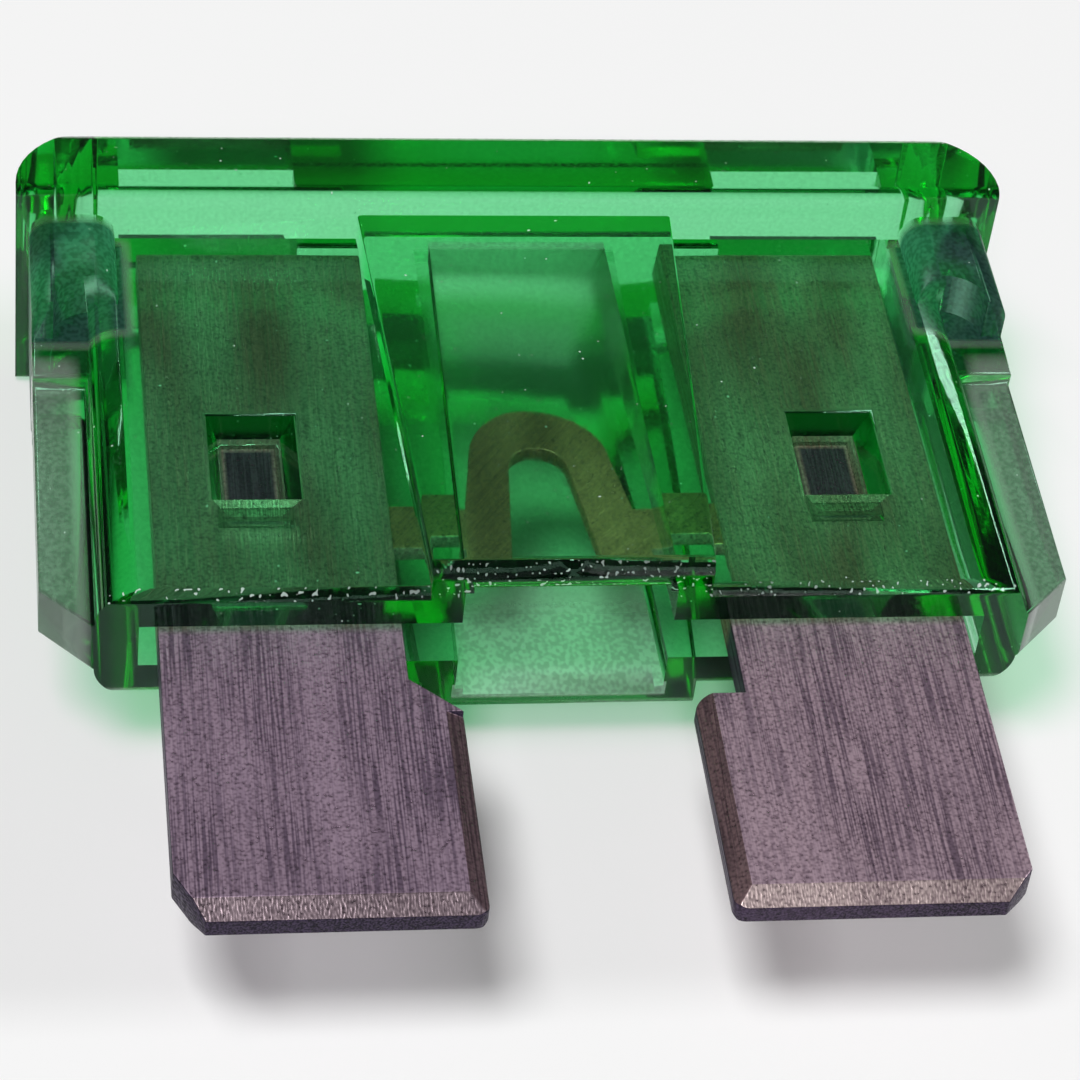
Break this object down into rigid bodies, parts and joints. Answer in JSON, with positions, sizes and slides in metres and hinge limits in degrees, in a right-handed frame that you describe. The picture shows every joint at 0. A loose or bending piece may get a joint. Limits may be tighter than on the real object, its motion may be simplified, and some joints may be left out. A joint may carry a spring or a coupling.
{
  "type": "automotive blade fuse",
  "caption": "Regular-size automotive blade fuse: translucent green moulded housing with a raised window over a thin arched link, and flat metal blades.",
  "frame": {"origin": "middle of the fuse's outline seen from the front, on the plane that its back lies on", "axes": "+X across the width, +Y from the blade tips to the head, +Z out of the front face; the fuse lies on its back"},
  "size_m": [0.019, 0.018, 0.0048],
  "materials": {
    "housing_plastic": "gloss",
    "element_metal": "satin"
  },
  "bodies": {
    "root": {"housing": "housing_plastic", "fuse_element": "element_metal"}
  },
  "joints": []
}
